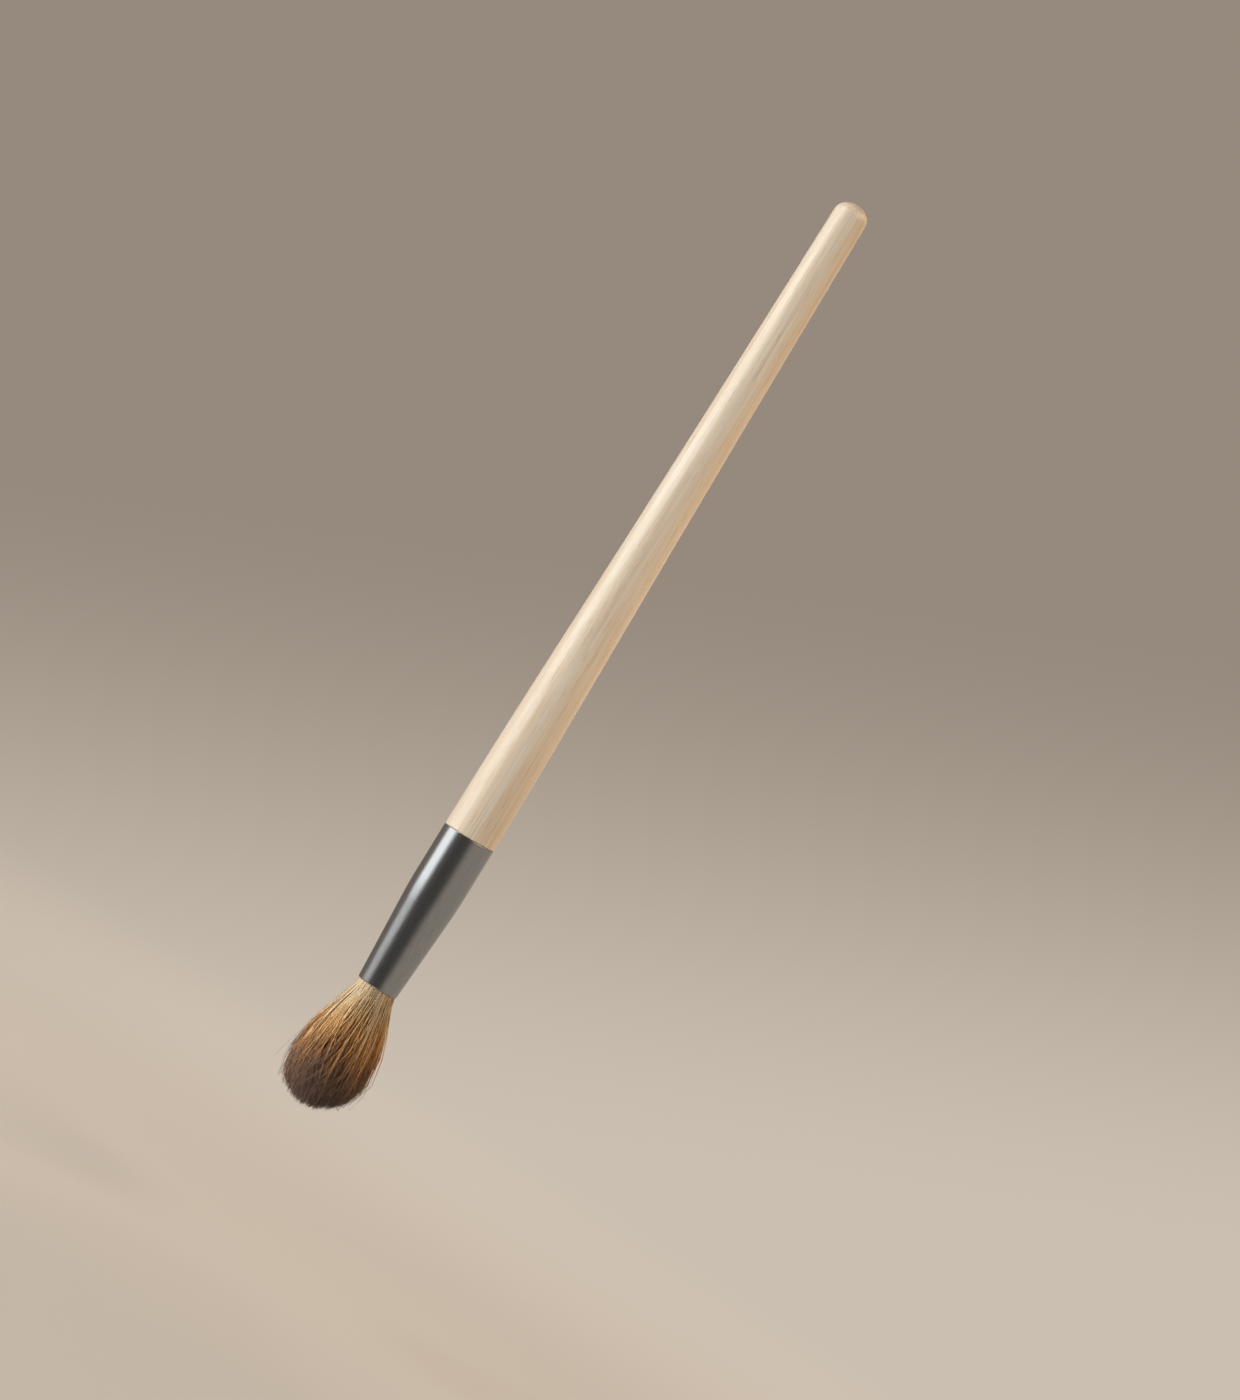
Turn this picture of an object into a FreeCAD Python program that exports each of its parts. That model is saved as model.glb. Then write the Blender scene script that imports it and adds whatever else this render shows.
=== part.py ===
import FreeCAD, Part
import math
import os

# An eyeshadow brush in millimetres, upright on its own axis with the tuft pointing down.
# The origin is on that axis, half-way along the straight collar of the ferrule.

# Ferrule: a drawn tube with a straight collar, necked down to a narrower mouth
FERRULE_COLLAR_DIAMETER = 8.6
FERRULE_COLLAR_LENGTH = 8.6
FERRULE_MOUTH_DIAMETER = 6.7
FERRULE_CONE_LENGTH = 16.4
FERRULE_SHOULDER_EASE = 1.8
FERRULE_WALL = 0.35
FERRULE_RIM_RADIUS = 0.12
FERRULE_LIP_RADIUS = 0.2

# Handle: turned in one piece with the tenon that is glued into the collar
HANDLE_ROOT_STEP = 0.025
HANDLE_MID_DIAMETER = 7.3
HANDLE_MID_HEIGHT = 44.0
HANDLE_END_DIAMETER = 5.5
HANDLE_TAPER_LENGTH = 66.6
HANDLE_END_SLOPE = 0.01
HANDLE_DOME_HEIGHT = 2.2
HANDLE_SHOULDER_RADIUS = 0.15
TENON_SETBACK = 0.4
TENON_CHAMFER = 0.5
TENON_GLUE_FILM = 0.08

# Hair: a bundle clamped in the mouth, which flares to a belly and closes in a dome
TUFT_FLARE_DEG = 16.5
TUFT_FLARE_REACH = 4.7
TUFT_BELLY_DIAMETER = 12.7
TUFT_BELLY_DEPTH = 13.3
TUFT_BELLY_REACH = 5.0
TUFT_DOME_HEIGHT = 7.1
TUFT_BEND_LENGTH = 7.0

# Binding thread: an open winding in a waist of the bundle, hidden in the ferrule
THREAD_DIAMETER = 0.3
THREAD_TURNS = 4
THREAD_PITCH = 0.8
THREAD_SETBACK = 4.5
THREAD_CLEARANCE = 0.05
WAIST_EASE = 0.6

# Resin: a cap on the root ends with a skirt that runs down between hair and ferrule
RESIN_SKIRT = 2.0
RESIN_CAP = 1.5
RESIN_TO_WAIST = 0.3

# Share of a quarter ellipse's radius at which the poles of its Bezier curve lie
QUARTER_ROUND = 0.5523

COLLAR_RADIUS = FERRULE_COLLAR_DIAMETER / 2
MOUTH_RADIUS = FERRULE_MOUTH_DIAMETER / 2
COLLAR_BORE = COLLAR_RADIUS - FERRULE_WALL
HANDLE_ROOT_RADIUS = COLLAR_RADIUS - HANDLE_ROOT_STEP
BUNDLE_RADIUS = MOUTH_RADIUS - FERRULE_WALL
TENON_RADIUS = COLLAR_BORE - TENON_GLUE_FILM
WAIST_RADIUS = BUNDLE_RADIUS - THREAD_DIAMETER - THREAD_CLEARANCE

# Heights along the axis, from the handle's end down to the tip of the tuft
Z_RIM = FERRULE_COLLAR_LENGTH / 2
Z_HANDLE_MID = Z_RIM + HANDLE_MID_HEIGHT
Z_DOME = Z_HANDLE_MID + HANDLE_TAPER_LENGTH
Z_HANDLE_END = Z_DOME + HANDLE_DOME_HEIGHT
Z_TENON_END = Z_RIM - FERRULE_COLLAR_LENGTH + TENON_SETBACK
Z_SHOULDER = Z_RIM - FERRULE_COLLAR_LENGTH - FERRULE_SHOULDER_EASE
Z_MOUTH = Z_SHOULDER - FERRULE_CONE_LENGTH
Z_BELLY = Z_MOUTH - TUFT_BELLY_DEPTH
Z_TIP = Z_BELLY - TUFT_DOME_HEIGHT
Z_BEND_END = Z_MOUTH - TUFT_BEND_LENGTH
Z_THREAD = Z_MOUTH + THREAD_SETBACK
Z_WAIST_FOOT = Z_THREAD - THREAD_DIAMETER
Z_WAIST_TOP = Z_THREAD + THREAD_TURNS * THREAD_PITCH + THREAD_DIAMETER
Z_RESIN_FOOT = Z_WAIST_TOP + WAIST_EASE + RESIN_TO_WAIST
Z_ROOT_END = Z_RESIN_FOOT + RESIN_SKIRT
Z_RESIN_TOP = Z_ROOT_END + RESIN_CAP

AXIS = FreeCAD.Vector(0, 0, 1)
ORIGIN = FreeCAD.Vector(0, 0, 0)


def at(radius, height):
    """A point of a turned profile."""
    return FreeCAD.Vector(radius, 0, height)


def path(*points):
    """Straight edges from point to point."""
    return [Part.makeLine(start, end) for start, end in zip(points, points[1:])]


def curve(*poles):
    """A Bezier edge, which leaves its first pole and meets its last along the poles beside them."""
    bezier = Part.BezierCurve()
    bezier.setPoles(list(poles))
    return bezier.toShape()


def turned(edges):
    """The solid that a closed profile sweeps in one turn about the axis."""
    return Part.Face(Part.Wire(edges)).revolve(ORIGIN, AXIS, 360)


def slab(bottom, top, radius):
    """A disc-shaped tool on the axis between two heights."""
    return Part.makeCylinder(radius, top - bottom, at(0, bottom))


def rounded(shape, edge_radius, radius, height):
    """The shape with the circular edge of this radius and height rounded over."""
    near = 1e-4
    edges = [
        edge
        for edge in shape.Edges
        if edge.BoundBox.ZLength < near
        and abs(edge.BoundBox.ZMax - height) < near
        and abs(edge.BoundBox.XMax - radius) < near
    ]
    return shape.makeFillet(edge_radius, edges)


def ferrule_side(inset):
    """The ferrule's side from mouth to rim, moved in from its outside by an inset."""
    mouth = at(MOUTH_RADIUS - inset, Z_MOUTH)
    corner = at(COLLAR_RADIUS - inset, Z_SHOULDER)
    rim = at(COLLAR_RADIUS - inset, Z_RIM)
    ease_start = corner + (mouth - corner).normalize() * FERRULE_SHOULDER_EASE
    ease_end = corner + AXIS * FERRULE_SHOULDER_EASE
    return [
        *path(mouth, ease_start),
        curve(ease_start, corner, ease_end),
        *path(ease_end, rim),
    ]


def ferrule_filled(inset):
    """The ferrule as a full plug, or its bore where the inset is the wall."""
    close = path(
        at(COLLAR_RADIUS - inset, Z_RIM),
        at(0, Z_RIM),
        at(0, Z_MOUTH),
        at(MOUTH_RADIUS - inset, Z_MOUTH),
    )
    return turned(ferrule_side(inset) + close)


def make_ferrule():
    tube = ferrule_filled(0).cut(ferrule_filled(FERRULE_WALL))
    tube = rounded(tube, FERRULE_RIM_RADIUS, COLLAR_RADIUS, Z_RIM)
    return rounded(tube, FERRULE_LIP_RADIUS, MOUTH_RADIUS, Z_MOUTH)


def make_handle():
    root = at(HANDLE_ROOT_RADIUS, Z_RIM)
    middle = at(HANDLE_MID_DIAMETER / 2, Z_HANDLE_MID)
    end_radius = HANDLE_END_DIAMETER / 2
    end = at(end_radius, Z_DOME)
    taper = Part.BSplineCurve()
    taper.interpolate(
        Points=[root, middle, end],
        InitialTangent=AXIS,
        FinalTangent=at(-HANDLE_END_SLOPE, 1),
    )
    dome = curve(
        end,
        at(end_radius, Z_DOME + QUARTER_ROUND * HANDLE_DOME_HEIGHT),
        at(QUARTER_ROUND * end_radius, Z_HANDLE_END),
        at(0, Z_HANDLE_END),
    )
    tenon = path(
        at(0, Z_HANDLE_END),
        at(0, Z_TENON_END),
        at(TENON_RADIUS - TENON_CHAMFER, Z_TENON_END),
        at(TENON_RADIUS, Z_TENON_END + TENON_CHAMFER),
        at(TENON_RADIUS, Z_RIM),
        root,
    )
    handle = turned([taper.toShape(), dome, *tenon])
    return rounded(handle, HANDLE_SHOULDER_RADIUS, HANDLE_ROOT_RADIUS, Z_RIM)


def make_tenon_glue():
    bottom = Z_TENON_END + TENON_CHAMFER
    return slab(bottom, Z_RIM, COLLAR_BORE).cut(slab(bottom, Z_RIM, TENON_RADIUS))


def make_hair():
    """The whole bundle, from its root ends in the ferrule to the tip of the tuft."""
    roots = path(
        at(0, Z_TIP),
        at(0, Z_ROOT_END),
        at(BUNDLE_RADIUS, Z_ROOT_END),
        at(BUNDLE_RADIUS, Z_WAIST_TOP + WAIST_EASE),
        at(WAIST_RADIUS, Z_WAIST_TOP),
        at(WAIST_RADIUS, Z_WAIST_FOOT),
        at(BUNDLE_RADIUS, Z_WAIST_FOOT - WAIST_EASE),
        at(BUNDLE_RADIUS, Z_MOUTH),
    )
    belly = TUFT_BELLY_DIAMETER / 2
    flare_out = TUFT_FLARE_REACH * math.tan(math.radians(TUFT_FLARE_DEG))
    flare = curve(
        at(BUNDLE_RADIUS, Z_MOUTH),
        at(BUNDLE_RADIUS + flare_out, Z_MOUTH - TUFT_FLARE_REACH),
        at(belly, Z_BELLY + TUFT_BELLY_REACH),
        at(belly, Z_BELLY),
    )
    dome = curve(
        at(belly, Z_BELLY),
        at(belly, Z_BELLY - QUARTER_ROUND * TUFT_DOME_HEIGHT),
        at(QUARTER_ROUND * belly, Z_TIP),
        at(0, Z_TIP),
    )
    return turned([*roots, flare, dome])


def make_hair_roots(hair):
    """The clamped roots and the short free length in which the tuft bends."""
    return hair.common(slab(Z_BEND_END, Z_ROOT_END, TUFT_BELLY_DIAMETER))


def make_hair_tuft(hair):
    """The rest of the free length, which swings as one."""
    return hair.common(slab(Z_TIP, Z_BEND_END, TUFT_BELLY_DIAMETER))


def make_root_resin(hair):
    bore = ferrule_filled(FERRULE_WALL)
    return bore.common(slab(Z_RESIN_FOOT, Z_RESIN_TOP, COLLAR_RADIUS)).cut(hair)


def helix_point(radius, turns):
    """A point of the winding's centre line, counted in turns from its start."""
    angle = 2 * math.pi * turns
    height = Z_THREAD + THREAD_PITCH * turns
    return FreeCAD.Vector(radius * math.cos(angle), radius * math.sin(angle), height)


def helix_tangent(radius, turns):
    angle = 2 * math.pi * turns
    rise = THREAD_PITCH / (2 * math.pi)
    along = FreeCAD.Vector(-radius * math.sin(angle), radius * math.cos(angle), rise)
    return along.normalize()


def tangent_arc(start, corner, end):
    """The arc from start to end whose end tangents meet at a corner equally far from both."""
    middle = (start + end) * 0.5
    half_turn = math.atan2((corner - middle).Length, (end - start).Length / 2)
    rise = math.tan(half_turn / 2) / math.tan(half_turn)
    return Part.Arc(start, middle + (corner - middle) * rise, end).toShape()


def biarc(start, start_tangent, end, end_tangent):
    """Two arcs from start to end that share a tangent where they meet."""
    chord = end - start
    both = start_tangent + end_tangent
    square = 2 * (start_tangent.dot(end_tangent) - 1)
    linear = -2 * chord.dot(both)
    reach = (-linear - math.sqrt(linear ** 2 - 4 * square * chord.dot(chord))) / (2 * square)
    first = start + start_tangent * reach
    last = end - end_tangent * reach
    join = (first + last) * 0.5
    return [tangent_arc(start, first, join), tangent_arc(join, last, end)]


def make_binding_thread():
    """An open helix in quarter turns, with a short straight tail at each end."""
    radius = WAIST_RADIUS + THREAD_DIAMETER / 2
    quarters = [quarter / 4 for quarter in range(4 * THREAD_TURNS + 1)]
    points = [helix_point(radius, turns) for turns in quarters]
    tangents = [helix_tangent(radius, turns) for turns in quarters]
    tail_start = points[0] - tangents[0] * THREAD_DIAMETER
    tail_end = points[-1] + tangents[-1] * THREAD_DIAMETER
    edges = [Part.makeLine(tail_start, points[0])]
    for index in range(len(points) - 1):
        edges += biarc(points[index], tangents[index], points[index + 1], tangents[index + 1])
    edges.append(Part.makeLine(points[-1], tail_end))
    spine = Part.Wire(edges)
    section = Part.Wire(Part.makeCircle(THREAD_DIAMETER / 2, tail_start, tangents[0]))
    print("least gap between the thread's turns: %.2f mm" % winding_gap(radius))
    return spine.makePipeShell([section], True, False)


def winding_gap(radius):
    """The least space between one turn of the thread and the turns beside it."""
    samples = 48
    points = [helix_point(radius, step / samples) for step in range(THREAD_TURNS * samples + 1)]
    apart = samples // 2
    nearest = min(
        (points[one] - points[other]).Length
        for one in range(len(points))
        for other in range(one + apart, len(points))
    )
    return nearest - THREAD_DIAMETER


def main():
    hair = make_hair()
    pieces = {
        "handle": make_handle(),
        "tenon_glue": make_tenon_glue(),
        "ferrule": make_ferrule(),
        "root_resin": make_root_resin(hair),
        "binding_thread": make_binding_thread(),
        "hair_roots": make_hair_roots(hair),
        "hair_tuft": make_hair_tuft(hair),
    }
    os.makedirs("parts", exist_ok=True)
    for name, shape in pieces.items():
        shape.exportStep(f"parts/{name}.step")


main()
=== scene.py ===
import math

import bpy
import numpy as np
from mathutils import Matrix, Vector


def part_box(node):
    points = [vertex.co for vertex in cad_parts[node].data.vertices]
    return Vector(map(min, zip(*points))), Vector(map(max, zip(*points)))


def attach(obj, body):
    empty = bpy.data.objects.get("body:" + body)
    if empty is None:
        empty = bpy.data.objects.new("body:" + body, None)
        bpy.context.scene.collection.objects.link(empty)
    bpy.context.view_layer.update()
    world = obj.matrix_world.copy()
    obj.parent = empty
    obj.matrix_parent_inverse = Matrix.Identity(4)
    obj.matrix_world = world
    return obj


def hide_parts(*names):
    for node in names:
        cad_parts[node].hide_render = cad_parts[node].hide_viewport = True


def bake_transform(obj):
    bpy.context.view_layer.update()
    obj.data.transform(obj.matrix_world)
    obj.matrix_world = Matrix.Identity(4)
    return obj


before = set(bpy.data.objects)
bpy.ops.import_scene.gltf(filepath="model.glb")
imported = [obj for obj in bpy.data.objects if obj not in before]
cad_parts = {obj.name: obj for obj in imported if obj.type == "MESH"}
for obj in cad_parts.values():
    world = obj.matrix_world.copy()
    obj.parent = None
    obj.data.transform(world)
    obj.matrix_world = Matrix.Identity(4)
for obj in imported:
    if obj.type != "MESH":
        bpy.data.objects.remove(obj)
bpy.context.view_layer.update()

# An eyeshadow brush, upright with its tuft down. Sizes are in millimetres until a mesh or lamp is placed.
MM = 0.001

# Heights and radii that the solids give
COLLAR_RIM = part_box("ferrule")[1].z / MM
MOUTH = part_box("ferrule")[0].z / MM
ROOT_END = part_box("hair_roots")[1].z / MM
TUFT_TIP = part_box("hair_tuft")[0].z / MM
BELLY_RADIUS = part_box("hair_tuft")[1].x / MM

# The tuft's outline below the mouth of the ferrule
BUNDLE_RADIUS = 3.0
FLARE_DEG = 16.5
FLARE_REACH = 4.7
BELLY_DEPTH = 13.3
BELLY_REACH = 5.0
DOME_HEIGHT = MOUTH - TUFT_TIP - BELLY_DEPTH

# How far inside the mouth the bundle has its full radius again, below the waist that the thread gives it
NECK_INSET = 1.0

# The combed hairs keep a little inside the solid at the belly, because the unruly ones stand out from them
COMBED_SHARE = 0.955
COMBED_RADIUS = COMBED_SHARE * BELLY_RADIUS

# The hairs: how many, how wide, where along the flank and the dome each one has a ring of corners, and the
# share of a hair's free run that lies above the belly
HAIR_COUNT = 5400
STRAY_COUNT = 1300
HAIR_SIDES = 3
HAIR_WIDTH = 0.085
TIP_WIDTH = 0.02
TAPER_START = 0.6
FINE_WIDTHS = (0.7, 1.2)
COARSE_WIDTHS = (1.6, 2.3)
COARSE_SHARE = 0.2
FLANK_STEPS = [0.1, 0.2, 0.32, 0.46, 0.7, 1.0]
DOME_STEPS = np.array([0.4, 0.75, 1.0])
BELLY_RUN = 0.65

# How the hairs lie: shares of the tuft's radius, angles in radians, lengths in millimetres
BUNDLE_FILL = 0.965
CLUMP_COUNT = 700
CLUMP_PULL = 0.5
CLUMP_PULL_POWER = 1.4
UNRULY_SHARE = 0.55
UNRULY = 4.0
WANDER = 0.04
SWAY = 0.03
SWIRL = 0.15
OVERHANG = 0.2
TIP_CURL = 0.22
TIP_SETBACK = 0.2
LEAST_REACH = 3 * TIP_SETBACK
DOME_EDGE = 0.995
TIP_SCATTER = 0.22
CLUMP_SCATTER = 0.12
SHORT_SHARE = 0.45
SHORTEST = 0.5
FULLNESS = 1.03
LOPSIDED = 0.03
STRAY_LIFT = 0.22
STRAY_GAMMA_SHAPE = 2.0
STRAY_LIFT_POWER = 1.6
STRAY_LIFT_LIMIT = 1.2
STRAY_LIFT_DEPTH = BELLY_DEPTH + 3
BODY_SHADE = 0.7
SEED = 20

# The hairs' tones: columns of the hairs' own map, the last of them for the hairs that stay gold for longer
TONES = 64
GOLD_TONES = 9
GOLD_SHARE = 0.1
CLUMP_TONE_SHARE = 0.5
COLUMN_MARGIN = 0.2
CAP_ENDS = [0.01, 0.99]

# The thread wound round the roots
THREAD_DIAMETER = 0.3
THREAD_TURNS = 4
THREAD_PITCH = 0.8
THREAD_SETBACK = 4.5
THREAD_CLEARANCE = 0.05
THREAD_PLIES = 3
THREAD_LAY = 2.0
STEPS_PER_TURN = 96
WAIST_RADIUS = BUNDLE_RADIUS - THREAD_DIAMETER - THREAD_CLEARANCE

# The photograph's frame: 1240 by 1400 pixels, on which the brush leans to the right
LEAN_DEG = 31.56
FRAME_HEIGHT = 212.9
FRAME_CENTRE_RIGHT = 8.6
FRAME_CENTRE_ABOVE_RIM = 29.8
LENS = 135.0
SENSOR = 36.0

# The stage
FLOOR_BELOW_TIP = 25.0
FLOOR_RADIUS = 450.0
FLOOR_FADE_START = 60.0
FLOOR_CLOUD = 300.0
STRIP_SPREAD_DEG = 80.0

# The surround: its own upright, the dark front of the room, and the cosines between which each one fades
UPRIGHT_TILT_DEG = 23.3
BACKDROP_FADE = (-0.09, 0.03)
DARK_FRONT_DEG = 20.0
DARK_FRONT_FADE = (0.55, 0.9)
AMBIENT_STRENGTH = 0.14


def linear(hex_colour):
    """An sRGB hex colour as the linear RGBA that sockets take."""
    channels = [int(hex_colour[i : i + 2], 16) / 255 for i in (1, 3, 5)]
    return (*[c / 12.92 if c <= 0.04045 else ((c + 0.055) / 1.055) ** 2.4 for c in channels], 1.0)


def add_node(tree, kind, inputs=(), stops=(), **settings):
    """Adds a node with settings, ramp stops and inputs; an input is a value or another node's output."""
    made = tree.nodes.new(kind)
    for name, value in settings.items():
        setattr(made, name, value)
    for index, (place, colour) in enumerate(stops):
        if index >= len(made.color_ramp.elements):
            made.color_ramp.elements.new(place)
        made.color_ramp.elements[index].position = place
        made.color_ramp.elements[index].color = linear(colour)
    for name, value in dict(inputs).items():
        if isinstance(value, bpy.types.NodeSocket):
            tree.links.new(value, made.inputs[name])
        else:
            made.inputs[name].default_value = value
    return made


def new_material(name):
    """An empty node material, its tree and its output node."""
    material = bpy.data.materials.new(name)
    material.use_nodes = True
    tree = material.node_tree
    tree.nodes.clear()
    return material, tree, add_node(tree, "ShaderNodeOutputMaterial")


def streaks(tree, width, length, detail):
    """Noise drawn out along the brush; width and length of a streak are in millimetres."""
    place = add_node(tree, "ShaderNodeTexCoord")
    stretched = add_node(tree, "ShaderNodeMapping", {
        "Vector": place.outputs["Object"],
        "Scale": (1 / (width * MM), 1 / (width * MM), 1 / (length * MM)),
    })
    noise = add_node(tree, "ShaderNodeTexNoise", {
        "Vector": stretched.outputs["Vector"], "Scale": 1.0, "Detail": detail,
    })
    return noise.outputs["Fac"]


def lacquered_bamboo():
    """Turned bamboo under satin lacquer: pale cream with fine lengthwise fibres and a soft broad sheen."""
    material, tree, output = new_material("lacquered_bamboo")
    fibres = streaks(tree, width=0.35, length=24, detail=3)
    bands = streaks(tree, width=2.2, length=90, detail=2)
    pores = streaks(tree, width=0.16, length=5, detail=1)
    grain = add_node(tree, "ShaderNodeMix", {"Factor": 0.45, "A": fibres, "B": bands})
    wood = add_node(tree, "ShaderNodeValToRGB", {"Fac": grain.outputs["Result"]}, stops=[
        (0.32, "#D8BFA0"), (0.47, "#E2CEB3"), (0.62, "#EADCC5"),
    ])
    flecks = add_node(tree, "ShaderNodeValToRGB", {"Fac": pores}, stops=[
        (0.30, "#D2B38E"), (0.38, "#FFFFFF"),
    ])
    colour = add_node(tree, "ShaderNodeMix", {
        "Factor": 0.35, "A": wood.outputs["Color"], "B": flecks.outputs["Color"],
    }, data_type="RGBA", blend_type="MULTIPLY")
    bump = add_node(tree, "ShaderNodeBump", {
        "Height": fibres, "Strength": 0.05, "Distance": 0.05 * MM,
    })
    shader = add_node(tree, "ShaderNodeBsdfPrincipled", {
        "Base Color": colour.outputs["Result"],
        "Roughness": 0.45,
        "Coat Weight": 0.6,
        "Coat Roughness": 0.38,
        "Normal": bump.outputs["Normal"],
    })
    tree.links.new(shader.outputs["BSDF"], output.inputs["Surface"])
    return material


def gunmetal_aluminium():
    """Drawn aluminium tube, etched and dyed grey: satin, so that it blurs what it mirrors.

    Its faint draw lines are coarser than real ones, which are too fine to show.
    """
    material, tree, output = new_material("gunmetal_aluminium")
    lines = streaks(tree, width=0.12, length=60, detail=1)
    tint = add_node(tree, "ShaderNodeValToRGB", {"Fac": lines}, stops=[
        (0.35, "#909294"), (0.65, "#9B9D9F"),
    ])
    gloss = add_node(tree, "ShaderNodeMapRange", {"Value": lines, "To Min": 0.27, "To Max": 0.29})
    bump = add_node(tree, "ShaderNodeBump", {
        "Height": lines, "Strength": 0.002, "Distance": 0.02 * MM,
    })
    shader = add_node(tree, "ShaderNodeBsdfPrincipled", {
        "Base Color": tint.outputs["Color"],
        "Metallic": 1.0,
        "Roughness": gloss.outputs["Result"],
        "Normal": bump.outputs["Normal"],
    })
    tree.links.new(shader.outputs["BSDF"], output.inputs["Surface"])
    return material


def dyed_filament():
    """Drawn synthetic filament, dip-dyed: a soft sheen, pale gold at the root and dark brown at the tip.

    Each tone turns brown sooner or later than the next, and is lighter or darker, most of all at the tip.
    """
    material, tree, output = new_material("dyed_filament")
    along = add_node(tree, "ShaderNodeUVMap", uv_map="OFBake")
    parts = add_node(tree, "ShaderNodeSeparateXYZ", {"Vector": along.outputs["UV"]})
    scaled = add_node(tree, "ShaderNodeMath", {0: parts.outputs["X"], 1: TONES}, operation="MULTIPLY")
    tone = add_node(tree, "ShaderNodeMath", {0: scaled.outputs["Value"]}, operation="FLOOR")
    chance = add_node(tree, "ShaderNodeTexWhiteNoise", {"W": tone.outputs["Value"]}, noise_dimensions="1D")
    gold = add_node(tree, "ShaderNodeMath", {
        0: tone.outputs["Value"], 1: TONES - GOLD_TONES - 0.5,
    }, operation="GREATER_THAN")
    shift = add_node(tree, "ShaderNodeMapRange", {
        "Value": chance.outputs["Value"], "To Min": -0.16, "To Max": 0.16,
    })
    later = add_node(tree, "ShaderNodeMath", {
        0: gold.outputs["Value"], 1: -0.22, 2: shift.outputs["Result"],
    }, operation="MULTIPLY_ADD")
    stage = add_node(tree, "ShaderNodeMath", {
        0: parts.outputs["Y"], 1: later.outputs["Value"],
    }, operation="ADD")
    dye = add_node(tree, "ShaderNodeValToRGB", {"Fac": stage.outputs["Value"]}, stops=[
        (0.05, "#D8BF99"),
        (0.25, "#DCB278"),
        (0.42, "#D09A60"),
        (0.58, "#A8784F"),
        (0.75, "#876A54"),
        (1.00, "#826959"),
    ])
    lightness = add_node(tree, "ShaderNodeMapRange", {
        "Value": chance.outputs["Value"], "To Min": 1.55, "To Max": 0.4,
    })
    contrast = add_node(tree, "ShaderNodeMapRange", {
        "Value": parts.outputs["Y"], "From Min": 0.1, "From Max": 0.7, "To Min": 0.4, "To Max": 1.25,
    })
    evened = add_node(tree, "ShaderNodeMix", {
        "Factor": contrast.outputs["Result"], "A": 1.0, "B": lightness.outputs["Result"],
    })
    colour = add_node(tree, "ShaderNodeHueSaturation", {
        "Color": dye.outputs["Color"], "Value": evened.outputs["Result"],
    })
    shader = add_node(tree, "ShaderNodeBsdfPrincipled", {
        "Base Color": colour.outputs["Color"],
        "Roughness": 0.32,
        "Specular IOR Level": 0.25,
    })
    tree.links.new(shader.outputs["BSDF"], output.inputs["Surface"])
    return material


def speckled_plain(name, dark, light, speck, roughness):
    """A hidden filler or thread: one hue, mottled at the size of its specks in millimetres."""
    material, tree, output = new_material(name)
    place = add_node(tree, "ShaderNodeTexCoord")
    specks = add_node(tree, "ShaderNodeTexNoise", {
        "Vector": place.outputs["Object"], "Scale": 1 / (speck * MM), "Detail": 2.0,
    })
    tint = add_node(tree, "ShaderNodeValToRGB", {"Fac": specks.outputs["Fac"]}, stops=[
        (0.3, dark), (0.7, light),
    ])
    shader = add_node(tree, "ShaderNodeBsdfPrincipled", {
        "Base Color": tint.outputs["Color"], "Roughness": roughness,
    })
    tree.links.new(shader.outputs["BSDF"], output.inputs["Surface"])
    return material


def bezier(poles, steps):
    """Points of a cubic Bezier curve in depth and radius at the given steps."""
    t = np.asarray(steps)[:, None]
    p = np.asarray(poles, float)
    return (1 - t) ** 3 * p[0] + 3 * t * (1 - t) ** 2 * p[1] + 3 * t ** 2 * (1 - t) * p[2] + t ** 3 * p[3]


def flank_rings():
    """Depth below the mouth and radius of the outermost hair, from its root end to the belly."""
    waist_foot = -THREAD_SETBACK + THREAD_DIAMETER
    waist_top = -THREAD_SETBACK - THREAD_TURNS * THREAD_PITCH - THREAD_DIAMETER
    clamped = np.array([
        (MOUTH - ROOT_END, BUNDLE_RADIUS),
        (waist_top, WAIST_RADIUS),
        (waist_foot, WAIST_RADIUS),
        (-NECK_INSET, BUNDLE_RADIUS),
    ])
    free = bezier([
        (0, BUNDLE_RADIUS),
        (FLARE_REACH, BUNDLE_RADIUS + FLARE_REACH * math.tan(math.radians(FLARE_DEG))),
        (BELLY_DEPTH - BELLY_REACH, COMBED_RADIUS),
        (BELLY_DEPTH, COMBED_RADIUS),
    ], FLANK_STEPS)
    return np.vstack([clamped, free])


def disc_points(rng, count):
    """Points spread evenly over a disc of radius 1."""
    share = np.sqrt(rng.uniform(0, 1, count))
    angle = rng.uniform(0, 2 * math.pi, count)
    return share[:, None] * np.stack([np.cos(angle), np.sin(angle)], -1)


def hair_reach(rng, tip_share, clump):
    """How far each hair goes below the belly: as far as the dome does where its tip is, a little uneven."""
    dome = DOME_HEIGHT * np.sqrt(1 - np.clip(tip_share, 0, DOME_EDGE) ** 2)
    uneven = rng.normal(0, CLUMP_SCATTER, CLUMP_COUNT)[clump] + rng.normal(0, TIP_SCATTER, HAIR_COUNT)
    return np.maximum(dome + uneven - TIP_SETBACK, LEAST_REACH)


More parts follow.
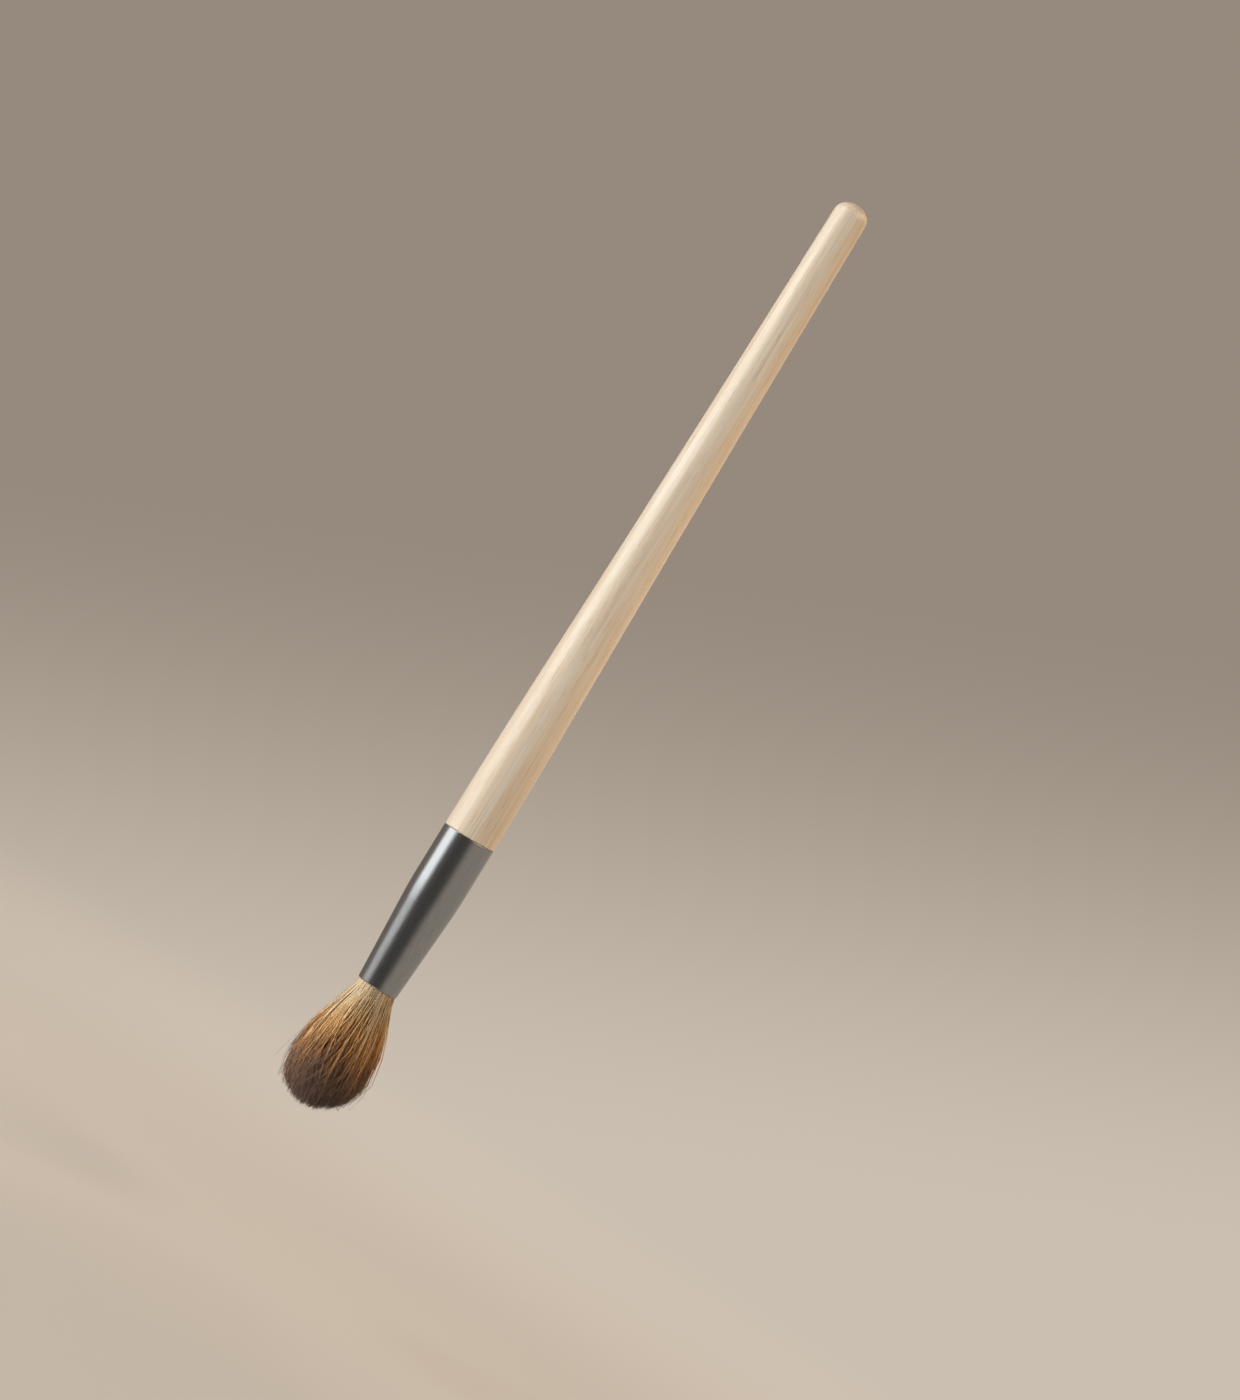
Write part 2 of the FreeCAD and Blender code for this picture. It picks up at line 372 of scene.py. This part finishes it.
def comb_hairs(rng):
    """Path of every hair as hair, ring and XYZ in millimetres, its place in the bundle and its clump."""
    flank = flank_rings()
    run = np.concatenate([
        np.clip(flank[:, 0] / BELLY_DEPTH, 0, 1) * BELLY_RUN,
        BELLY_RUN + (1 - BELLY_RUN) * DOME_STEPS,
    ])
    radius = np.concatenate([flank[:, 1], np.full(len(DOME_STEPS), COMBED_RADIUS)])
    curl = np.concatenate([np.zeros(len(flank)), DOME_STEPS ** 2])

    disc = BUNDLE_FILL * disc_points(rng, HAIR_COUNT)
    centres = disc_points(rng, CLUMP_COUNT)
    clump = np.argmin(np.linalg.norm(disc[:, None] - centres, axis=-1), axis=1)
    pull = rng.uniform(0, CLUMP_PULL, CLUMP_COUNT)[clump]
    unruly = np.where(rng.uniform(0, 1, HAIR_COUNT) < UNRULY_SHARE, UNRULY, 1.0)
    wander = rng.normal(0, WANDER, (HAIR_COUNT, 2)) * unruly[:, None]
    sway = rng.normal(0, SWAY, (HAIR_COUNT, 2)) * unruly[:, None]
    swirl = rng.normal(0, SWIRL, HAIR_COUNT) * unruly
    inward = rng.uniform(0, TIP_CURL, HAIR_COUNT)

    gathered = (pull[:, None] * run ** CLUMP_PULL_POWER)[:, :, None]
    spot = disc[:, None] * (1 - gathered) + centres[clump][:, None] * gathered
    spot = spot + wander[:, None] * run[:, None] + sway[:, None] * np.sin(math.pi * run)[:, None]
    angle = np.arctan2(spot[..., 1], spot[..., 0]) + swirl[:, None] * run ** 2
    share = np.linalg.norm(spot, axis=-1)
    share = np.where(share > 1, 1 + OVERHANG * (share - 1), share)
    out = share * radius * (1 - inward[:, None] * curl)

    reach = hair_reach(rng, out[:, -1] / BELLY_RADIUS, clump)
    depth = np.empty(out.shape)
    depth[:, : len(flank)] = flank[:, 0]
    depth[:, len(flank) :] = BELLY_DEPTH + reach[:, None] * DOME_STEPS
    depth = np.where(depth > 0, depth * (FULLNESS - LOPSIDED * disc[:, :1]), depth)
    return np.stack([out * np.cos(angle), out * np.sin(angle), MOUTH - depth], -1), disc, clump


def cut_short(rng, paths):
    """Ends some hairs early, so that tips show all over the flank; the rings outside the mouth close up."""
    rings = paths.shape[1]
    first = rings - len(FLANK_STEPS) - len(DOME_STEPS)
    is_short = rng.uniform(0, 1, HAIR_COUNT) < SHORT_SHARE
    keep = np.where(is_short, rng.uniform(SHORTEST, 1, HAIR_COUNT), 1.0)
    place = first + np.arange(rings - first) * keep[:, None]
    before = np.minimum(place.astype(int), rings - 2)
    part = (place - before)[:, :, None]
    hair = np.arange(HAIR_COUNT)[:, None]
    shortened = paths.copy()
    shortened[:, first:] = paths[hair, before] * (1 - part) + paths[hair, before + 1] * part
    return shortened


def choose_tones(rng, clump):
    """A tone for each hair: some share their clump's, some are gold, the rest have their own."""
    plain = TONES - GOLD_TONES
    chance = rng.uniform(0, 1, HAIR_COUNT)
    shared = rng.integers(0, plain, CLUMP_COUNT)[clump]
    tone = np.where(chance < CLUMP_TONE_SHARE, shared, rng.integers(0, plain, HAIR_COUNT))
    return np.where(chance > 1 - GOLD_SHARE, rng.integers(plain, TONES, HAIR_COUNT), tone)


def lift_strays(rng, paths):
    """The same hairs lifted off the tuft, the more the nearer to their tips."""
    lift = np.clip((MOUTH - paths[:, :, 2]) / STRAY_LIFT_DEPTH, 0, STRAY_LIFT_LIMIT) ** STRAY_LIFT_POWER
    away = rng.gamma(STRAY_GAMMA_SHAPE, STRAY_LIFT, (len(paths), 1))
    outward = paths[:, :, :2] / np.linalg.norm(paths[:, :, :2], axis=-1, keepdims=True)
    lifted = paths.copy()
    lifted[:, :, :2] += outward * (lift * away)[:, :, None]
    return lifted


def body_normals(points):
    """The way the tuft's round body faces at each point, as if it were one smooth surface."""
    below_belly = np.minimum(points[..., 2] - (MOUTH - BELLY_DEPTH), 0)
    outward = np.stack([
        points[..., 0],
        points[..., 1],
        below_belly * (BELLY_RADIUS / DOME_HEIGHT) ** 2,
    ], -1)
    return outward / np.linalg.norm(outward, axis=-1, keepdims=True)


def hair_widths(rng, depth):
    """Width of every hair at every ring. A fifth are coarser than real hairs, so that single ones show."""
    count = len(depth)
    taper = np.clip(depth / depth[:, -1:] - TAPER_START, 0, None) / (1 - TAPER_START)
    coarse = rng.uniform(0, 1, (count, 1)) < COARSE_SHARE
    own = np.where(coarse, rng.uniform(*COARSE_WIDTHS, (count, 1)), rng.uniform(*FINE_WIDTHS, (count, 1)))
    return own * (HAIR_WIDTH + (TIP_WIDTH - HAIR_WIDTH) * taper)


def hair_faces(count, rings):
    """Corner numbers of all side faces and of the caps at both ends, for hairs of that many rings."""
    ring, side = np.meshgrid(np.arange(rings - 1), np.arange(HAIR_SIDES), indexing="ij")
    here = ring * HAIR_SIDES + side
    beside = ring * HAIR_SIDES + (side + 1) % HAIR_SIDES
    quad = np.stack([here, here + HAIR_SIDES, beside + HAIR_SIDES, beside], -1).reshape(-1, 4)
    root_cap = np.arange(HAIR_SIDES)
    tip_cap = (rings - 1) * HAIR_SIDES + root_cap[::-1]
    start = (np.arange(count) * rings * HAIR_SIDES)[:, None, None]
    quads = (quad + start).reshape(-1, 4)
    caps = (np.stack([root_cap, tip_cap]) + start).reshape(-1, HAIR_SIDES)
    return quads, caps


def across_column(tone, share):
    """Place across the hairs' map, at a share of the width of each hair's column less its margins."""
    return (tone[:, None, None] + COLUMN_MARGIN + (1 - 2 * COLUMN_MARGIN) * share) / TONES


def map_hairs(mesh, tone, along):
    """The hairs' own map: tone across and length from root to tip upwards."""
    count, rings = along.shape
    ring, side = np.meshgrid(np.arange(rings - 1), np.arange(HAIR_SIDES), indexing="ij")
    across = np.stack([side, side, side + 1, side + 1], -1).reshape(-1, 4) / HAIR_SIDES
    up = np.stack([ring, ring + 1, ring + 1, ring], -1).reshape(-1, 4)
    quad_map = np.stack([across_column(tone, across), along[:, up]], -1).reshape(-1, 2)
    cap_shape = (count, 2, HAIR_SIDES)
    cap_across = np.broadcast_to(across_column(tone, np.arange(HAIR_SIDES) / HAIR_SIDES), cap_shape)
    cap_along = np.broadcast_to(np.array(CAP_ENDS)[:, None], cap_shape)
    cap_map = np.stack([cap_across, cap_along], -1).reshape(-1, 2)
    uv_map = mesh.uv_layers.new(name="OFBake")
    uv_map.data.foreach_set("uv", np.vstack([quad_map, cap_map]).ravel())


def hair_piece(name, paths, full_depth, tone, material, rng):
    """One mesh of three-sided hairs along the paths."""
    count, rings, _ = paths.shape
    depth = np.clip(MOUTH - paths[:, :, 2], 0, None)
    turn = rng.uniform(0, 2 * math.pi, (count, 1)) + np.arange(HAIR_SIDES) * 2 * math.pi / HAIR_SIDES
    around = np.stack([np.cos(turn), np.sin(turn), np.zeros_like(turn)], -1)[:, None]
    corners = paths[:, :, None, :] + around * hair_widths(rng, depth)[:, :, None, None] / 2
    quads, caps = hair_faces(count, rings)
    mesh = bpy.data.meshes.new(name)
    mesh.from_pydata((corners.reshape(-1, 3) * MM).tolist(), [], quads.tolist() + caps.tolist())

    # Light rounds real hair off as one soft body, so the hairs are shaded mostly as the whole tuft is
    facing = BODY_SHADE * body_normals(corners) + (1 - BODY_SHADE) * around
    facing /= np.linalg.norm(facing, axis=-1, keepdims=True)
    mesh.polygons.foreach_set("use_smooth", [True] * len(mesh.polygons))
    mesh.normals_split_custom_set_from_vertices(facing.reshape(-1, 3).tolist())
    map_hairs(mesh, tone, np.clip(depth / full_depth[:, None], 0, 1))

    piece = bpy.data.objects.new(name, mesh)
    bpy.context.collection.objects.link(piece)
    mesh.materials.append(material)
    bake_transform(piece)
    return piece


def make_tuft():
    """The bundle as inner, outer and stray hairs, in place of its two plain solids."""
    rng = np.random.default_rng(SEED)
    filament = dyed_filament()
    combed, disc, clump = comb_hairs(rng)
    full_depth = MOUTH - combed[:, -1, 2]
    paths = cut_short(rng, combed)
    tone = choose_tones(rng, clump)

    outwards = np.argsort(np.linalg.norm(disc, axis=-1))
    inner, outer = np.split(outwards, 2)
    stray = rng.choice(outwards[-2 * STRAY_COUNT :], STRAY_COUNT, replace=False)
    inner_hair = hair_piece("inner_hair", paths[inner], full_depth[inner], tone[inner], filament, rng)
    outer_hair = hair_piece("outer_hair", paths[outer], full_depth[outer], tone[outer], filament, rng)
    hair_piece("stray_hair", lift_strays(rng, paths[stray]), full_depth[stray], tone[stray], filament, rng)
    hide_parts("hair_roots")
    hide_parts("hair_tuft")


def thread_ply(number):
    """One ply of the thread, which twists about the middle of the winding."""
    ply_radius = THREAD_DIAMETER / 4
    coil_radius = WAIST_RADIUS + THREAD_DIAMETER / 2
    route = bpy.data.curves.new("ply", "CURVE")
    route.dimensions = "3D"
    route.bevel_depth = ply_radius * MM
    route.bevel_resolution = 1
    route.use_fill_caps = True
    spline = route.splines.new("POLY")
    spline.points.add(THREAD_TURNS * STEPS_PER_TURN)
    for step, point in enumerate(spline.points):
        turn = 2 * math.pi * step / STEPS_PER_TURN
        twist = 2 * math.pi * number / THREAD_PLIES + 2 * math.pi * turn * coil_radius / THREAD_LAY
        radius = coil_radius + ply_radius * math.cos(twist)
        climb = THREAD_PITCH * step / STEPS_PER_TURN
        height = MOUTH + THREAD_SETBACK + climb + ply_radius * math.sin(twist)
        point.co = (radius * math.cos(turn) * MM, radius * math.sin(turn) * MM, height * MM, 1)
    ply = bpy.data.objects.new("ply", route)
    bpy.context.collection.objects.link(ply)
    return ply


def make_thread():
    """The binding as one thread of twisted plies, in place of its plain winding."""
    plies = [thread_ply(number) for number in range(THREAD_PLIES)]
    bpy.ops.object.select_all(action="DESELECT")
    for ply in plies:
        ply.select_set(True)
    bpy.context.view_layer.objects.active = plies[0]
    bpy.ops.object.convert(target="MESH")
    bpy.ops.object.join()
    bpy.ops.object.shade_smooth()
    thread = bpy.context.object
    thread.name = "twisted_thread"
    thread.data.materials.append(
        speckled_plain("twisted_polyester_thread", "#D9D4C6", "#F1EEE4", speck=0.08, roughness=0.7)
    )
    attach(thread, "brush")
    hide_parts("binding_thread")


def dress_solids():
    """The finish of each piece whose solid already has its shape."""
    finishes = {
        "handle": lacquered_bamboo(),
        "ferrule": gunmetal_aluminium(),
        "tenon_glue": speckled_plain("dried_wood_glue", "#D8C89A", "#E8DDBC", speck=0.6, roughness=0.35),
        "root_resin": speckled_plain("cast_epoxy_resin", "#B98A45", "#CDA262", speck=0.9, roughness=0.15),
    }
    for node, material in finishes.items():
        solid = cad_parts[node]
        solid.data.materials.clear()
        solid.data.materials.append(material)


def floor_paper():
    """Matt paper, clouded a little, which turns clear with distance so that it has no edge.

    Only the camera sees it pale: what it throws back is dim, so that the dark dome isn't lit from below.
    """
    material, tree, output = new_material("matt_floor_paper")
    place = add_node(tree, "ShaderNodeTexCoord")
    cloud = add_node(tree, "ShaderNodeTexNoise", {
        "Vector": place.outputs["Object"], "Scale": 1 / (FLOOR_CLOUD * MM), "Detail": 2.0,
    })
    tint = add_node(tree, "ShaderNodeValToRGB", {"Fac": cloud.outputs["Fac"]}, stops=[
        (0.3, "#D7D0C7"), (0.7, "#DBD4CB"),
    ])
    paper = add_node(tree, "ShaderNodeBsdfDiffuse", {"Color": tint.outputs["Color"]})
    clear = add_node(tree, "ShaderNodeBsdfTransparent")
    distance = add_node(tree, "ShaderNodeVectorMath", {0: place.outputs["Object"]}, operation="LENGTH")
    fade = add_node(tree, "ShaderNodeMapRange", {
        "Value": distance.outputs["Value"],
        "From Min": FLOOR_FADE_START * MM,
        "From Max": FLOOR_RADIUS * MM,
    }, interpolation_type="SMOOTHSTEP")
    ray = add_node(tree, "ShaderNodeLightPath")
    dim = add_node(tree, "ShaderNodeBsdfDiffuse", {"Color": linear("#5C554E")})
    seen = add_node(tree, "ShaderNodeMixShader", {
        "Fac": ray.outputs["Is Camera Ray"], 1: dim.outputs["BSDF"], 2: paper.outputs["BSDF"],
    })
    either = add_node(tree, "ShaderNodeMixShader", {
        "Fac": fade.outputs["Result"], 1: seen.outputs["Shader"], 2: clear.outputs["BSDF"],
    })
    tree.links.new(either.outputs["Shader"], output.inputs["Surface"])
    return material


def make_floor():
    """A pale floor under the tuft, which takes its shadow; mirrors show the surround in its place."""
    bpy.ops.object.select_all(action="DESELECT")
    bpy.ops.mesh.primitive_circle_add(
        vertices=96,
        radius=FLOOR_RADIUS * MM,
        fill_type="NGON",
        location=(0, 0, (TUFT_TIP - FLOOR_BELOW_TIP) * MM),
    )
    floor = bpy.context.object
    floor.name = "floor"
    floor.data.materials.append(floor_paper())
    floor.visible_glossy = False


def turned_towards(tree, direction, way, fade):
    """Goes smoothly from 0 to 1 as a direction turns towards a way, between two cosines of the angle."""
    cosine = add_node(tree, "ShaderNodeVectorMath", {0: direction, 1: way}, operation="DOT_PRODUCT")
    share = add_node(tree, "ShaderNodeMapRange", {
        "Value": cosine.outputs["Value"], "From Min": fade[0], "From Max": fade[1],
    }, interpolation_type="SMOOTHSTEP")
    return share.outputs["Result"]


def make_world():
    """A surround that goes from beige to taupe, which metal mirrors too, and a soft light for the rest."""
    world = bpy.data.worlds.new("studio")
    bpy.context.scene.world = world
    world.use_nodes = True
    tree = world.node_tree
    tree.nodes.clear()
    output = add_node(tree, "ShaderNodeOutputWorld")
    ray = add_node(tree, "ShaderNodeLightPath")
    direction = add_node(tree, "ShaderNodeTexCoord").outputs["Generated"]
    tilt = math.radians(UPRIGHT_TILT_DEG)
    upwards = turned_towards(tree, direction, (-math.sin(tilt), 0, math.cos(tilt)), BACKDROP_FADE)
    backdrop = add_node(tree, "ShaderNodeValToRGB", {"Fac": upwards}, stops=[
        (0.0, "#CBBFB1"), (1.0, "#96897D"),
    ])

    # The room behind the camera is dark in mirrors, which gives the ferrule its dark band
    turn = math.radians(DARK_FRONT_DEG)
    forwards = turned_towards(tree, direction, (-math.sin(turn), -math.cos(turn), 0), DARK_FRONT_FADE)
    dark_front = add_node(tree, "ShaderNodeMath", {
        0: forwards, 1: ray.outputs["Is Glossy Ray"],
    }, operation="MULTIPLY")
    room = add_node(tree, "ShaderNodeMix", {
        "Factor": dark_front.outputs["Value"], "A": backdrop.outputs["Color"], "B": linear("#625E59"),
    }, data_type="RGBA")

    surround = add_node(tree, "ShaderNodeBackground", {"Color": room.outputs["Result"], "Strength": 1.0})
    ambient = add_node(tree, "ShaderNodeBackground", {
        "Color": linear("#E6DED4"), "Strength": AMBIENT_STRENGTH,
    })
    camera_or_mirror = add_node(tree, "ShaderNodeMath", {
        0: ray.outputs["Is Camera Ray"], 1: ray.outputs["Is Glossy Ray"],
    }, operation="MAXIMUM")
    seen = add_node(tree, "ShaderNodeMath", {
        0: camera_or_mirror.outputs["Value"], 1: ray.outputs["Is Transmission Ray"],
    }, operation="MAXIMUM")
    either = add_node(tree, "ShaderNodeMixShader", {
        "Fac": seen.outputs["Value"], 1: ambient.outputs["Background"], 2: surround.outputs["Background"],
    })
    tree.links.new(either.outputs["Shader"], output.inputs["Surface"])


def add_panel(name, place, width, height, power, colour, aim=0):
    """A soft rectangular lamp that faces a height on the axis; sizes in millimetres, power in watts."""
    bpy.ops.object.select_all(action="DESELECT")
    bpy.ops.object.light_add(type="AREA", location=Vector(place) * MM)
    lamp = bpy.context.object
    lamp.name = name
    lamp.rotation_euler = (Vector((0, 0, aim * MM)) - lamp.location).to_track_quat("-Z", "Y").to_euler()
    lamp.visible_camera = False
    lamp.data.shape = "RECTANGLE"
    lamp.data.size = width * MM
    lamp.data.size_y = height * MM
    lamp.data.energy = power
    lamp.data.color = linear(colour)[:3]
    return lamp


def make_lamps():
    """A soft box on the left, which the ferrule mirrors, and four lamps for the wood and the hair.

    A small key gives the tuft its form, a warm fill opens the shadows, a strip with a grid lights the right
    side of the handle alone, and a panel lights the back. Mirrors show only the soft box and the fill.
    """
    add_panel("soft_box", place=(-790, -168, 255), width=690, height=770, power=5.9, colour="#F5F7F8")
    key = add_panel(
        "key_lamp", place=(-530, -682, -10), width=160, height=160, power=4.35, colour="#F5F7FD"
    )
    key.visible_glossy = False
    add_panel("fill_panel", place=(590, -20, 720), width=1300, height=450, power=4.7, colour="#FFE8CE")
    strip = add_panel(
        "handle_strip", place=(180, 0, 68), width=30, height=150, power=0.034, colour="#FFE4C8", aim=55
    )
    strip.visible_glossy = False
    strip.data.spread = math.radians(STRIP_SPREAD_DEG)
    back = add_panel(
        "back_panel", place=(60, 770, 240), width=500, height=500, power=3.3, colour="#FFF4E8"
    )
    back.visible_glossy = False


def make_camera():
    """A long lens square to the brush, rolled so that the brush leans as in the photograph."""
    distance = FRAME_HEIGHT * LENS / SENSOR
    centre = Vector((FRAME_CENTRE_RIGHT, 0, COLLAR_RIM + FRAME_CENTRE_ABOVE_RIM)) * MM
    lean = math.radians(LEAN_DEG)
    right = Vector((math.cos(lean), 0, math.sin(lean)))
    up = Vector((-math.sin(lean), 0, math.cos(lean)))
    back = Vector((0, -1, 0))
    turn = Matrix((right, up, back)).transposed()
    bpy.ops.object.camera_add(location=centre + back * distance * MM, rotation=turn.to_euler())
    camera = bpy.context.object
    camera.data.lens = LENS
    camera.data.sensor_width = SENSOR
    camera.data.clip_start = 0.01
    bpy.context.scene.camera = camera


def main():
    make_camera()
    make_world()
    make_lamps()
    make_floor()
    dress_solids()
    make_tuft()
    make_thread()
    bpy.context.scene.view_settings.view_transform = "Standard"


main()
